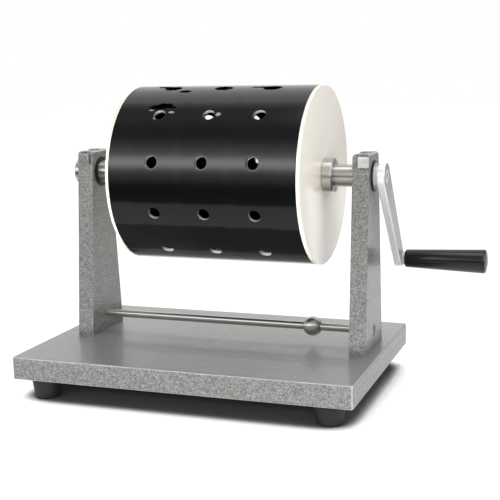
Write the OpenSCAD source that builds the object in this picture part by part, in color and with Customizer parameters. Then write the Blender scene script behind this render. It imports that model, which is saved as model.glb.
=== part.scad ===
// Hand-cranked kymograph: a perforated recording drum between two uprights on a heavy base.
// x runs along the drum with the crank at +x, y runs from the front edge to the back edge,
// z is up from the table, and the origin is under the middle of the whole object.

/* [Base] */
// Length of the base plate along the drum
base_l = 298; // [280:1:360]
// Depth of the base plate from front to back
base_d = 205; // [180:1:260]
// Thickness of the base plate
base_t = 19.5; // [16:0.5:30]
// Radius of the base plate's four upright corners
base_corner_r = 3; // [2:0.5:8]
// Radius along the base plate's top and bottom edges
base_edge_r = 1.5; // [0.5:0.5:2]

/* [Uprights] */
// Thickness of each upright
upright_t = 14.5; // [13:0.5:20]
// Height of each upright above the base plate
upright_h = 167; // [140:1:200]
// Depth of each upright where it stands on the base plate
upright_foot_d = 61.5; // [50:0.5:90]
// Depth of each upright at its top
upright_top_d = 32.5; // [31:0.5:44]
// Radius of the long top edges of each upright
upright_round_r = 3; // [1:0.5:4]
// Base plate left over outside the left upright
left_margin = 20; // [10:1:30]
// Base plate left over outside the right upright
right_margin = 10; // [5:1:20]
// Distance of the drum axis behind the front edge
axis_from_front = 113; // [95:1:120]
// Distance of the drum axis below the top of each upright
axis_from_top = 19.5; // [17:0.5:40]

/* [Drum] */
// Outer diameter of the drum
drum_d = 152; // [120:1:160]
// Length of the drum's tube between its end discs
drum_l = 163; // [140:1:170]
// Wall of the drum's tube
drum_wall = 3; // [2:0.5:5]
// Thickness of the visible rim of each end disc
disc_t = 3; // [2:0.5:5]
// Depth of the ring on each disc that locates the tube
spigot_l = 6; // [4:1:12]
// Wall of that ring
spigot_wall = 4; // [3:0.5:8]
// Distance from the right disc to the right upright
drum_to_right = 27.8; // [20:0.1:32]

/* [Drum holes] */
// Diameter of each hole in the drum
hole_d = 10; // [6:0.5:14]
// Holes along the drum
hole_columns = 3; // [1:1:4]
// Spacing of the holes along the drum
hole_pitch = 44.1; // [30:0.1:46]
// How far the rows sit to the right of the drum's middle
hole_shift = 1.2; // [0:0.1:6]
// Holes around the drum
hole_rows = 11; // [6:1:14]
// Angle of the first row of holes above the front of the drum
hole_angle = 12.4; // [0:0.1:30]

/* [Shaft and collars] */
// Diameter of the drum shaft
shaft_d = 19; // [15:0.5:19.5]
// Diameter of the collars that clamp the discs
hub_d = 29.5; // [26:0.5:34]
// Length of each of those collars
hub_l = 8.5; // [7:0.5:12]
// Diameter of the stop collar outside the left upright
stop_d = 23.5; // [23:0.5:28]
// Length of the stop collar
stop_l = 7; // [6:0.5:9]
// Diameter of the grub screws in the collars
grub_d = 4; // [3:0.5:4]
// Edge chamfer on the turned parts
chamfer = 0.6; // [0.2:0.1:0.8]

/* [Bushes] */
// Outer diameter of the black bush in each upright
bush_d = 23.5; // [23:0.5:25]
// Diameter of the bush's flange
flange_d = 26.5; // [25.5:0.5:30]
// Thickness of the bush's flange
flange_t = 1; // [1:0.1:3]
// Diameter of the oil hole above each bush
oil_hole_d = 2; // [1:0.5:3]
// Diameter of the oil screw's thread
oil_screw_d = 5; // [4:0.5:5]
// Diameter of the oil screw's head
oil_head_d = 9.5; // [8:0.5:12]
// Height of the oil screw's head
oil_head_h = 1.2; // [1:0.1:3]
// Length of the oil screw's thread
oil_screw_l = 5; // [4:0.5:6]

/* [Keeper bolts] */
// How deep the keeper bolt's shank lies in the bush's groove
keeper_bite = 1.3; // [0.5:0.1:1.6]
// Diameter of the keeper bolt's shank
keeper_d = 5; // [4:0.5:6]
// Width across the flats of the keeper bolt's square head
keeper_af = 9; // [8:0.5:10]
// Height of the keeper bolt's head
keeper_head_h = 4; // [3:0.5:6]
// Metal left between the keeper bolt's hole and the oil screw's hole
keeper_web = 0.5; // [0.4:0.1:2]
// How far the right keeper bolt sits outside the middle of its upright
right_keeper_shift = 2.3; // [0:0.1:2.5]

/* [Crank] */
// Distance from the drum axis to the handle axis
crank_r = 104; // [80:1:120]
// Angle of the crank from straight down towards the back
crank_lean = 39; // [0:1:90]
// Thickness of the crank arm
arm_t = 6.6; // [6:0.1:8]
// Width of the crank arm at the shaft
arm_hub_d = 22.5; // [20:0.5:26]
// Width of the crank arm at the handle
arm_end_d = 14.5; // [12:0.5:18]
// Diameter of the thrust washer's lip next to the bush
thrust_d = 22; // [21:0.5:25]
// Thickness of that lip
thrust_lip = 0.8; // [0.6:0.1:1.5]
// Diameter of the thrust washer between its lip and the arm
thrust_neck_d = 17.5; // [14:0.5:20]
// Length of the whole thrust washer
thrust_t = 3.2; // [2:0.1:5]
// Diameter of the shaft's end that the arm sits on
journal_d = 10; // [9:0.5:11]
// How far the shaft's end goes into the arm
journal_l = 2.8; // [2:0.1:2.9]
// Depth of the flat on the shaft's end
journal_flat = 1.2; // [0.5:0.1:2]
// Metal left in the arm between the shaft's end and the crank screw's head
crank_web = 0.7; // [0.5:0.1:1]
// Thread diameter of the crank screw
crank_screw_d = 6; // [5:0.5:6]
// Length of the crank screw below the arm's outer face
crank_screw_l = 22; // [16:1:30]

/* [Handle] */
// Length of the grip
grip_l = 70; // [50:1:90]
// Diameter of the grip next to the arm
grip_near_d = 16; // [14:0.5:20]
// Diameter of the grip at its free end
grip_far_d = 21.2; // [20:0.1:26]
// Height of the domed cap in the grip's end
cap_h = 2.8; // [2:0.1:5]
// Diameter of the spindle that the grip turns on
spindle_d = 7; // [6:0.5:8]
// Diameter of the spindle's head
spindle_head_d = 13; // [10:0.5:14]
// Height of the spindle's head
spindle_head_h = 3.5; // [3:0.5:6]
// Room around the spindle's head inside the grip
head_room = 1; // [0.5:0.1:1.2]
// Depth of the cap's plug in the grip
plug_l = 2.2; // [1.5:0.1:4]
// Diameter of the bright ferrule between arm and grip
ferrule_d = 12; // [10:0.5:14]
// Length of the ferrule
ferrule_l = 2.6; // [1.5:0.1:5]

/* [Rod and ball] */
// Diameter of the guide rod
rod_d = 7; // [6:0.5:10]
// Height of the guide rod above the base plate
rod_h = 15.3; // [12:0.1:24]
// How deep the guide rod goes into each upright
rod_seat = 7; // [4:0.5:8]
// Diameter of the sliding ball
ball_d = 17; // [14:0.5:22]
// Distance from the right upright to the middle of the ball
ball_from_right = 40; // [20:1:80]
// Thread diameter of the screws in the rod's ends
rod_screw_d = 4; // [3:0.5:4]
// Length of those screws' thread
rod_screw_l = 14; // [12:1:18]
// Head diameter of those screws
rod_head_d = 11; // [9:0.5:12]
// Head height of those screws
rod_head_h = 3; // [2:0.5:4]

/* [Feet] */
// Height of the rubber feet
foot_h = 18; // [14:0.5:24]
// Diameter of a foot under the base plate
foot_top_d = 26.4; // [22:0.2:30]
// Diameter of a foot at the table
foot_low_d = 21; // [19:0.5:28]
// Bevel around a foot's lower edge
foot_bevel = 1; // [0.5:0.5:2]
// Distance from a foot's middle to the base plate's end
foot_inset_x = 23; // [18:1:30]
// Distance from a foot's middle to the front or back edge
foot_inset_y = 18; // [17:1:30]
// Depth of the screw recess in a foot
foot_recess = 8; // [6:0.5:10]
// Diameter of the screw recess in a foot
foot_recess_d = 13; // [12:0.5:14]
// Thread diameter of the foot screws
foot_screw_d = 5; // [4:0.5:6]
// Head diameter of the foot screws
foot_head_d = 9; // [8:0.5:10]
// Head height of the foot screws
foot_head_h = 3; // [2:0.5:4]
// How far the foot screws go into the base plate
foot_screw_bite = 10; // [8:1:14]
// Thickness of the washers in the feet
foot_washer_t = 1; // [0.8:0.1:1.5]

/* [Upright screws] */
// Thread diameter of the screws that hold the uprights
post_screw_d = 6; // [5:0.5:8]
// Head diameter of those countersunk screws
post_head_d = 12; // [11:0.5:14]
// Spacing of the two screws under each upright
post_screw_gap = 36; // [30:1:40]
// How far those screws go into the upright
post_screw_bite = 22; // [16:1:30]

/* [Fits] */
// Radial clearance of everything that turns or slides
run_gap = 0.05; // [0.02:0.01:0.09]
// Radial clearance of parts that are fixed in a hole
seat_gap = 0.03; // [0.02:0.01:0.05]
// End play of everything that turns
end_play = 0.2; // [0.1:0.05:0.5]

/* [Hidden] */
$fn = 96;

// Straight steps in each round end of the crank arm
arc_steps = 40;
// Overshoot of a cutter past the face that it cuts
cut = 1;
// Clearance of a pin's end or a groove in its hole
tip_gap = 0.2;
// Share of a head's size that its hexagon or slot takes
drive_share = 0.5;
steel = "silver";
paint = "darkgray";
rubber = [0.1, 0.1, 0.1];

drum_r = drum_d / 2;
shaft_r = shaft_d / 2;
bush_r = bush_d / 2;
rod_r = rod_d / 2;
spindle_r = spindle_d / 2;
grub_r = grub_d / 2;

// Lengths that follow one another from the right upright's outer face to the end of the handle
thrust_from_face = flange_t + end_play;
arm_from_face = thrust_from_face + thrust_t;
ferrule_from_face = arm_from_face + arm_t;
grip_from_face = ferrule_from_face + ferrule_l + end_play;
cap_from_face = grip_from_face + grip_l;
handle_reach = cap_from_face + cap_h;
axis_h = upright_h - axis_from_top;

// Places along x
total_l = base_l - right_margin + handle_reach;
base_x0 = -total_l / 2;
left_outer_x = base_x0 + left_margin;
left_inner_x = left_outer_x + upright_t;
right_outer_x = base_x0 + base_l - right_margin;
right_inner_x = right_outer_x - upright_t;
disc_right_x = right_inner_x - drum_to_right;
tube_right_x = disc_right_x - disc_t;
tube_left_x = tube_right_x - drum_l;
disc_left_x = tube_left_x - disc_t;
drum_mid_x = (tube_left_x + tube_right_x) / 2;
stop_x = left_outer_x - end_play - stop_l;
arm_x = right_outer_x + arm_from_face;
arm_out_x = arm_x + arm_t;

// Places along y and z
base_y0 = -base_d / 2;
axis_y = base_y0 + axis_from_front;
base_z = foot_h;
base_top_z = base_z + base_t;
axis_z = base_top_z + axis_h;
rod_z = base_top_z + rod_h;
upright_top_z = base_top_z + upright_h;

// The keeper bolt's square head lies on a flat cut into the leaning front of the upright
spot_r = keeper_af / sqrt(2) + tip_gap;
keeper_rise = bush_r - keeper_bite + keeper_d / 2;
keeper_tip = oil_screw_d / 2 + keeper_web + tip_gap;
keeper_z = axis_z + keeper_rise;
spot_top_h = min(upright_h, axis_h + keeper_rise + spot_r);
spot_half_d = upright_foot_d / 2 - (upright_foot_d - upright_top_d) / 2 * spot_top_h / upright_h;
spot_y = axis_y - spot_half_d;
groove_r = bush_r - keeper_bite - tip_gap;
groove_w = keeper_d + 2 * tip_gap;

// A countersunk head is as deep as its overhang past the thread
post_head_h = (post_head_d - post_screw_d) / 2;
crank_head_h = arm_t - journal_l - tip_gap - crank_web;
crank_head_d = crank_screw_d + 2 * crank_head_h;
handle_lean_y = crank_r * sin(crank_lean);
handle_lean_z = crank_r * cos(crank_lean);
recess_r = spindle_head_d / 2 + head_room;
recess_l = end_play + spindle_head_h + tip_gap + plug_l;

foot_places = [
    [base_x0 + foot_inset_x, base_y0 + foot_inset_y],
    [base_x0 + base_l - foot_inset_x, base_y0 + foot_inset_y],
    [base_x0 + foot_inset_x, base_y0 + base_d - foot_inset_y],
    [base_x0 + base_l - foot_inset_x, base_y0 + base_d - foot_inset_y],
];
post_xs = [left_outer_x + upright_t / 2, right_outer_x - upright_t / 2];
post_ys = [axis_y - post_screw_gap / 2, axis_y + post_screw_gap / 2];

// ---------- Shapes used more than once ----------

// Puts a part's own z axis along +x, starting at the drum axis
module on_axis(x) {
    translate([x, axis_y, axis_z]) rotate([0, 90, 0]) children();
}

// The same on the handle axis, which turns with the crank
module on_handle(x) {
    translate([x, axis_y + handle_lean_y, axis_z - handle_lean_z]) rotate([0, 90, 0]) children();
}

// The same on the guide rod
module on_rod(x) {
    translate([x, axis_y, rod_z]) rotate([0, 90, 0]) children();
}

// Hole cutter that overshoots both ends
module bore(r, l) {
    translate([0, 0, -cut]) cylinder(r = r, h = l + 2 * cut);
}

// Turned ring with chamfered outer edges
module turned_ring(r_out, r_in, l, ch = chamfer) {
    rotate_extrude() {
        polygon([
            [r_in, 0], [r_out - ch, 0], [r_out, ch],
            [r_out, l - ch], [r_out - ch, l], [r_in, l],
        ]);
    }
}

// Countersunk screw with its flat head up at z = 0 and its thread below
module countersunk_screw(thread_d, head_d, l) {
    head_h = (head_d - thread_d) / 2;
    difference() {
        union() {
            translate([0, 0, -l]) cylinder(d = thread_d, h = l);
            translate([0, 0, -head_h]) cylinder(d1 = thread_d, d2 = head_d, h = head_h);
        }
        translate([0, 0, -head_h * drive_share]) {
            cylinder(r = head_d * drive_share / 2, h = head_h, $fn = 6);
        }
    }
}

// Round head with a screwdriver slot, sitting on z = 0
module slotted_head(d, h) {
    slot_w = h * drive_share;
    difference() {
        domed_disc(d / 2, h, h * (1 - drive_share));
        translate([-d, -slot_w / 2, h * drive_share]) cube([2 * d, slot_w, h]);
    }
}

// Disc whose top is a dome as high as dome_h
module domed_disc(r, h, dome_h) {
    dome_r = (r * r + dome_h * dome_h) / (2 * dome_h);
    intersection() {
        cylinder(r = r, h = h);
        translate([0, 0, h - dome_r]) sphere(r = dome_r);
    }
}

// ---------- Base, uprights and feet ----------

// Rectangle with round corners
module round_rect(w, h, r) {
    translate([r, 0]) square([w - 2 * r, h]);
    translate([0, r]) square([w, h - 2 * r]);
    for (x = [r, w - r], y = [r, h - r]) {
        translate([x, y]) circle(r = r);
    }
}

// Slab with round upright corners and smaller rounds along its top and bottom edges
module base_blank() {
    long = base_l - 2 * base_corner_r;
    deep = base_d - 2 * base_corner_r;
    translate([base_corner_r, 0, 0]) {
        rotate([90, 0, 90]) linear_extrude(long) round_rect(base_d, base_t, base_edge_r);
    }
    translate([0, base_d - base_corner_r, 0]) {
        rotate([90, 0, 0]) linear_extrude(deep) round_rect(base_l, base_t, base_edge_r);
    }
    for (x = [base_corner_r, base_l - base_corner_r], y = [base_corner_r, base_d - base_corner_r]) {
        translate([x, y, 0]) corner_post();
    }
}

// One corner of the base plate, turned so that its edges are round as well
module corner_post() {
    rotate_extrude() {
        square([base_corner_r - base_edge_r, base_t]);
        translate([0, base_edge_r]) square([base_corner_r, base_t - 2 * base_edge_r]);
        for (z = [base_edge_r, base_t - base_edge_r]) {
            translate([base_corner_r - base_edge_r, z]) circle(r = base_edge_r);
        }
    }
}

module base_plate() {
    color(paint) difference() {
        translate([base_x0, base_y0, base_z]) base_blank();
        for (x = post_xs, y = post_ys) {
            translate([x, y, base_z]) {
                bore(post_screw_d / 2 + seat_gap, base_t);
                translate([0, 0, post_head_h + seat_gap]) mirror([0, 0, 1]) {
                    cylinder(d1 = post_screw_d, d2 = post_head_d + 2 * seat_gap, h = post_head_h + seat_gap);
                }
            }
        }
        for (p = foot_places) {
            translate([p[0], p[1], base_z - cut]) {
                cylinder(r = foot_screw_d / 2 + seat_gap, h = foot_screw_bite + tip_gap + cut);
            }
        }
    }
}

// Tapered upright before its holes, with x = 0 at its left face and y = 0 at the drum axis
module upright_blank() {
    intersection() {
        rotate([90, 0, 90]) linear_extrude(upright_t) {
            polygon([
                [-upright_foot_d / 2, 0], [upright_foot_d / 2, 0],
                [upright_top_d / 2, upright_h], [-upright_top_d / 2, upright_h],
            ]);
        }
        translate([0, upright_foot_d, 0]) rotate([90, 0, 0]) linear_extrude(2 * upright_foot_d) {
            square([upright_t, upright_h - upright_round_r]);
            translate([upright_round_r, 0]) square([upright_t - 2 * upright_round_r, upright_h]);
            for (x = [upright_round_r, upright_t - upright_round_r]) {
                translate([x, upright_h - upright_round_r]) circle(r = upright_round_r);
            }
        }
    }
}

// The keeper bolt's place beside the middle of its upright, on the left (-1) or the right (1)
function keeper_shift(outer) = outer < 0 ? 0 : right_keeper_shift;

// Upright at x, with the rod's screw entering from its outer face on the given side
module upright(x, outer) {
    mid_x = x + upright_t / 2;
    keeper_x = mid_x + keeper_shift(outer);
    seat_x = outer < 0 ? x + upright_t - rod_seat : x - cut;
    head_x = outer < 0 ? x - cut : x + upright_t - rod_head_h - tip_gap;
    difference() {
        translate([x, axis_y, base_top_z]) upright_blank();
        on_axis(x) bore(bush_r + seat_gap, upright_t);
        // Oil hole, its tapped mouth and the flat that the keeper bolt's head lies on
        translate([mid_x, axis_y, axis_z]) cylinder(d = oil_hole_d, h = upright_h);
        translate([mid_x, axis_y, upright_top_z - oil_screw_l - tip_gap]) {
            cylinder(d = oil_screw_d + 2 * seat_gap, h = upright_h);
        }
        translate([keeper_x, spot_y, keeper_z]) {
            rotate([90, 0, 0]) cylinder(r = spot_r, h = upright_foot_d);
            rotate([-90, 0, 0]) cylinder(d = keeper_d + 2 * seat_gap, h = axis_y - spot_y - keeper_tip + tip_gap);
        }
        on_rod(x) bore(rod_screw_d / 2 + tip_gap, upright_t);
        on_rod(seat_x) cylinder(r = rod_r + seat_gap, h = rod_seat + cut);
        on_rod(head_x) cylinder(d = rod_head_d + tip_gap, h = rod_head_h + tip_gap + cut);
        for (y = post_ys) {
            translate([mid_x, y, base_top_z - cut]) {
                cylinder(r = post_screw_d / 2 + seat_gap, h = post_screw_bite + tip_gap + cut);
            }
        }
    }
}

module left_upright() {
    color(paint) upright(left_outer_x, -1);
}

module right_upright() {
    color(paint) upright(right_inner_x, 1);
}

module upright_screws() {
    color(steel) for (x = post_xs, y = post_ys) {
        translate([x, y, base_z]) rotate([180, 0, 0]) {
            countersunk_screw(post_screw_d, post_head_d, base_t + post_screw_bite);
        }
    }
}

module foot(i) {
    color(rubber) translate([foot_places[i][0], foot_places[i][1], 0]) {
        rotate_extrude() {
            polygon([
                [foot_recess_d / 2, 0], [foot_low_d / 2 - foot_bevel, 0], [foot_low_d / 2, foot_bevel],
                [foot_top_d / 2, foot_h], [foot_screw_d / 2 + seat_gap, foot_h],
                [foot_screw_d / 2 + seat_gap, foot_recess], [foot_recess_d / 2, foot_recess],
            ]);
        }
    }
}

module front_left_foot() {
    foot(0);
}

module front_right_foot() {
    foot(1);
}

module back_left_foot() {
    foot(2);
}

module back_right_foot() {
    foot(3);
}

module foot_screws() {
    color(steel) for (p = foot_places) {
        translate([p[0], p[1], foot_recess - foot_washer_t]) {
            cylinder(d = foot_screw_d, h = base_z - foot_recess + foot_washer_t + foot_screw_bite);
            mirror([0, 0, 1]) slotted_head(foot_head_d, foot_head_h);
        }
    }
}

module foot_washers() {
    color(steel) for (p = foot_places) {
        translate([p[0], p[1], foot_recess - foot_washer_t]) {
            turned_ring(foot_recess_d / 2 - 2 * tip_gap, foot_screw_d / 2 + seat_gap, foot_washer_t, tip_gap);
        }
    }
}

// ---------- Bearings and their bolts ----------

// Flanged bush from x, with its flange on the crank side of the upright
module bush(x, outer) {
    groove_0 = (upright_t - groove_w) / 2 + keeper_shift(outer);
    color(rubber) difference() {
        on_axis(x) rotate_extrude() {
            bore_r = shaft_r + run_gap;
            polygon([
                [bore_r, 0], [bush_r, 0], [bush_r, groove_0], [groove_r, groove_0],
                [groove_r, groove_0 + groove_w], [bush_r, groove_0 + groove_w], [bush_r, upright_t],
                [flange_d / 2, upright_t], [flange_d / 2, upright_t + flange_t - chamfer / 2],
                [flange_d / 2 - chamfer / 2, upright_t + flange_t], [bore_r, upright_t + flange_t],
            ]);
        }
        translate([x + upright_t / 2, axis_y, axis_z]) cylinder(d = oil_hole_d, h = bush_d);
    }
}

module left_bush() {
    bush(left_outer_x, -1);
}

module right_bush() {
    bush(right_inner_x, 1);
}

// Square-headed bolt from the front, whose shank lies in the bush's groove
module keeper_bolt(x, outer) {
    color(steel) translate([x + upright_t / 2 + keeper_shift(outer), spot_y, keeper_z]) {
        rotate([-90, 0, 0]) cylinder(d = keeper_d, h = axis_y - spot_y - keeper_tip);
        rotate([90, 0, 0]) intersection() {
            translate([-keeper_af / 2, -keeper_af / 2, 0]) cube([keeper_af, keeper_af, keeper_head_h]);
            cylinder(d1 = 2 * keeper_af, d2 = 1.25 * keeper_af, h = keeper_head_h);
        }
    }
}

module left_keeper_bolt() {
    keeper_bolt(left_outer_x, -1);
}

module right_keeper_bolt() {
    keeper_bolt(right_inner_x, 1);
}

module oil_screw(x) {
    color(steel) translate([x + upright_t / 2, axis_y, upright_top_z]) {
        translate([0, 0, -oil_screw_l]) cylinder(d = oil_screw_d, h = oil_screw_l);
        slotted_head(oil_head_d, oil_head_h);
    }
}

module left_oil_screw() {
    oil_screw(left_outer_x);
}

module right_oil_screw() {
    oil_screw(right_inner_x);
}

// ---------- Guide rod and ball ----------

module guide_rod() {
    rod_x0 = left_inner_x - rod_seat + tip_gap;
    rod_l = right_inner_x + rod_seat - tip_gap - rod_x0;
    color(steel) on_rod(rod_x0) difference() {
        cylinder(r = rod_r, h = rod_l);
        for (z = [-cut, rod_l - rod_screw_l]) {
            translate([0, 0, z]) cylinder(r = rod_screw_d / 2 + seat_gap, h = rod_screw_l + cut);
        }
    }
}

module rod_end_screws() {
    color(steel) {
        on_rod(left_outer_x + rod_head_h) rod_end_screw();
        on_rod(right_outer_x - rod_head_h) mirror([0, 0, 1]) rod_end_screw();
    }
}

module rod_end_screw() {
    cylinder(d = rod_screw_d, h = rod_screw_l);
    mirror([0, 0, 1]) slotted_head(rod_head_d, rod_head_h);
}

module rod_ball() {
    color(steel) on_rod(right_inner_x - ball_from_right) difference() {
        sphere(d = ball_d);
        translate([0, 0, -ball_d / 2]) bore(rod_r + run_gap, ball_d);
    }
}

// ---------- Drum ----------

module drum_shell() {
    color([0.12, 0.12, 0.13]) difference() {
        on_axis(tube_left_x) difference() {
            cylinder(r = drum_r, h = drum_l);
            bore(drum_r - drum_wall, drum_l);
        }
        for (i = [0 : hole_columns - 1], j = [0 : hole_rows - 1]) {
            hole_x = drum_mid_x + hole_shift + (i - (hole_columns - 1) / 2) * hole_pitch;
            translate([hole_x, axis_y, axis_z]) rotate([90 - hole_angle - j * 360 / hole_rows, 0, 0]) {
                translate([0, 0, drum_r / 2]) cylinder(d = hole_d, h = drum_r);
            }
        }
    }
}

// End disc with its outer face at z = 0 and the tube's ring behind it
module end_disc() {
    ring_r = drum_r - drum_wall - seat_gap;
    edge = chamfer / 2;
    color([0.89, 0.87, 0.83]) rotate_extrude() {
        polygon([
            [shaft_r + seat_gap, 0], [drum_r - edge, 0], [drum_r, edge], [drum_r, disc_t],
            [ring_r, disc_t], [ring_r, disc_t + spigot_l], [ring_r - spigot_wall, disc_t + spigot_l],
            [ring_r - spigot_wall, disc_t], [shaft_r + seat_gap, disc_t],
        ]);
    }
}

module left_end_disc() {
    on_axis(disc_left_x) end_disc();
}

module right_end_disc() {
    on_axis(disc_right_x) mirror([0, 0, 1]) end_disc();
}

module drum_shaft() {
    full_l = arm_x - thrust_t - stop_x;
    color(steel) on_axis(stop_x) difference() {
        union() {
            rotate_extrude() {
                polygon([
                    [0, 0], [shaft_r - chamfer, 0], [shaft_r, chamfer], [shaft_r, full_l], [0, full_l],
                ]);
            }
            translate([0, 0, full_l]) journal(0, thrust_t + journal_l);
        }
        translate([0, 0, full_l + thrust_t + arm_t - crank_screw_l - tip_gap]) {
            cylinder(r = crank_screw_d / 2 + seat_gap, h = crank_screw_l);
        }
    }
}

// The shaft's end with one flat, grown by gap for its socket in the arm
module journal(gap, l) {
    r = journal_d / 2 + gap;
    linear_extrude(l) intersection() {
        circle(r = r);
        translate([-r, -r]) square([2 * r, 2 * r - journal_flat]);
    }
}

// Collar clamped on the shaft by one grub screw at the back
module collar(x, d, l) {
    color(steel) difference() {
        on_axis(x) turned_ring(d / 2, shaft_r + seat_gap, l);
        grub_place(x, l) cylinder(r = grub_r + seat_gap, h = d);
    }
}

// Puts a part's own z axis along the grub screw of a collar at x
module grub_place(x, l) {
    translate([x + l / 2, axis_y, axis_z]) rotate([-90, 0, 0]) children();
}

module left_hub_collar() {
    collar(disc_left_x - hub_l, hub_d, hub_l);
}

module right_hub_collar() {
    collar(disc_right_x, hub_d, hub_l);
}

module left_inner_collar() {
    collar(tube_left_x, hub_d, hub_l);
}

module right_inner_collar() {
    collar(tube_right_x - hub_l, hub_d, hub_l);
}

module stop_collar() {
    collar(stop_x, stop_d, stop_l);
}

module collar_grub_screws() {
    hub_xs = [disc_left_x - hub_l, disc_right_x, tube_left_x, tube_right_x - hub_l];
    color("dimgray") {
        for (x = hub_xs) {
            grub_place(x, hub_l) grub_screw(hub_d / 2);
        }
        grub_place(stop_x, stop_l) grub_screw(stop_d / 2);
    }
}

// Grub screw from the shaft's surface to just under the collar's rim
module grub_screw(rim_r) {
    l = rim_r - shaft_r - 2 * tip_gap;
    translate([0, 0, shaft_r + tip_gap / 2]) difference() {
        cylinder(r = grub_r, h = l);
        translate([0, 0, l * drive_share]) cylinder(r = grub_r * drive_share, h = l, $fn = 6);
    }
}

// ---------- Crank and handle ----------

// Washer clamped between the shaft's shoulder and the arm, whose lip runs against the bush
module thrust_washer() {
    lip_r = thrust_d / 2;
    neck_r = thrust_neck_d / 2;
    bore_r = journal_d / 2 + seat_gap;
    color(steel) on_axis(arm_x - thrust_t) rotate_extrude() {
        polygon([
            [bore_r, 0], [lip_r - tip_gap, 0], [lip_r, tip_gap], [lip_r, thrust_lip],
            [neck_r, thrust_lip], [neck_r, thrust_t], [bore_r, thrust_t],
        ]);
    }
}

// Points along an arc about x = cx
function arc(cx, r, from, to) = [
    for (i = [0 : arc_steps]) let(a = from + (to - from) * i / arc_steps) [cx + r * cos(a), r * sin(a)]
];

// Outline of the arm with the shaft at 0 and the handle along +x: two arcs joined by their tangents
module arm_outline() {
    r1 = arm_hub_d / 2;
    r2 = arm_end_d / 2;
    b = acos((r1 - r2) / crank_r);
    polygon(concat(arc(0, r1, b, 360 - b), arc(crank_r, r2, -b, b)));
}

// Turns the arm from the drum's frame to its resting angle
module on_crank(x) {
    on_axis(x) rotate([0, 0, crank_lean]) children();
}

module crank_arm() {
    color([0.8, 0.8, 0.8]) on_crank(arm_x) difference() {
        linear_extrude(arm_t) arm_outline();
        translate([0, 0, -cut]) rotate([0, 0, -crank_lean]) journal(seat_gap, journal_l + cut + tip_gap);
        bore(crank_screw_d / 2 + seat_gap, arm_t);
        translate([0, 0, arm_t - crank_head_h - seat_gap]) {
            cylinder(d1 = crank_screw_d, d2 = crank_head_d + 2 * seat_gap, h = crank_head_h + seat_gap);
        }
        translate([crank_r, 0, 0]) bore(spindle_r + seat_gap, arm_t);
    }
}

module crank_screw() {
    color(steel) on_axis(arm_out_x) {
        countersunk_screw(crank_screw_d, crank_head_d, crank_screw_l);
    }
}

module handle_spindle() {
    l = arm_t + ferrule_l + grip_l + end_play - recess_l + end_play;
    color(steel) on_handle(arm_x) {
        cylinder(r = spindle_r, h = l);
        translate([0, 0, l]) cylinder(d = spindle_head_d, h = spindle_head_h);
    }
}

module handle_ferrule() {
    color(steel) on_handle(arm_out_x) {
        turned_ring(ferrule_d / 2, spindle_r + seat_gap, ferrule_l, tip_gap);
    }
}

module handle_grip() {
    near_r = grip_near_d / 2;
    far_r = grip_far_d / 2;
    color(rubber) on_handle(right_outer_x + grip_from_face) rotate_extrude() {
        polygon([
            [spindle_r + run_gap, 0], [near_r - chamfer, 0], [near_r, chamfer],
            [far_r, grip_l - chamfer], [far_r - chamfer, grip_l],
            [recess_r, grip_l], [recess_r, grip_l - recess_l], [spindle_r + run_gap, grip_l - recess_l],
        ]);
    }
}

module grip_cap() {
    rim_r = grip_far_d / 2 - chamfer;
    color([0.25, 0.25, 0.26]) on_handle(right_outer_x + cap_from_face) {
        domed_disc(rim_r, cap_h, cap_h);
        translate([0, 0, -plug_l]) cylinder(r = recess_r - seat_gap, h = plug_l);
    }
}

base_plate();
left_upright();
right_upright();
upright_screws();
front_left_foot();
front_right_foot();
back_left_foot();
back_right_foot();
foot_screws();
foot_washers();
left_bush();
right_bush();
left_keeper_bolt();
right_keeper_bolt();
left_oil_screw();
right_oil_screw();
guide_rod();
rod_end_screws();
drum_shell();
left_end_disc();
right_end_disc();
drum_shaft();
left_hub_collar();
right_hub_collar();
left_inner_collar();
right_inner_collar();
collar_grub_screws();
stop_collar();
thrust_washer();
crank_arm();
crank_screw();
handle_spindle();
handle_ferrule();
handle_grip();
grip_cap();
rod_ball();
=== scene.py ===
# Hand-cranked kymograph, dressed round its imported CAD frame. Everything is in metres, in the CAD's own frame:
# x along the drum with the crank at +x, y from front to back, z up from the table.
import math
import bmesh
import bpy
import numpy as np
from mathutils import Matrix, Vector


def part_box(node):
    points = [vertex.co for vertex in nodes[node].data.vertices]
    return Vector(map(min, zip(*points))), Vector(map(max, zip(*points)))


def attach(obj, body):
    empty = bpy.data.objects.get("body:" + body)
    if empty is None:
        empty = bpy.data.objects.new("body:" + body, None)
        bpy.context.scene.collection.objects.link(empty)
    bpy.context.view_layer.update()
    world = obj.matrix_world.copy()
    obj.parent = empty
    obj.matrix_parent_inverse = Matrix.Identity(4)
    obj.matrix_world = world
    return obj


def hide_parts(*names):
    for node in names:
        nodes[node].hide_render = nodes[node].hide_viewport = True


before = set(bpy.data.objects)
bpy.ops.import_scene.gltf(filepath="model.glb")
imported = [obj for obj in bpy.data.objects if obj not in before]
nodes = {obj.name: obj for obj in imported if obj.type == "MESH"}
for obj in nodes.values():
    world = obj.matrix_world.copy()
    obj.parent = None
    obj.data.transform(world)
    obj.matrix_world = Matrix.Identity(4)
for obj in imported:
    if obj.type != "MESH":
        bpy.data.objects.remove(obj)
bpy.context.view_layer.update()
scene = bpy.context.scene
mm = 0.001
print("frame loaded:", len(nodes), "nodes")

# The camera, fitted to the photograph's straight edges: its place in metres and its turns in radians
cameraSet = {"place": (0.30045, -0.85661, 0.28082), "yaw": 0.3444, "pitch": -0.1752, "roll": -0.0191,
             "focalPixels": 1063.43, "imagePixels": 500, "sensor": 36.0, "near": 0.01, "far": 30}


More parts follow.
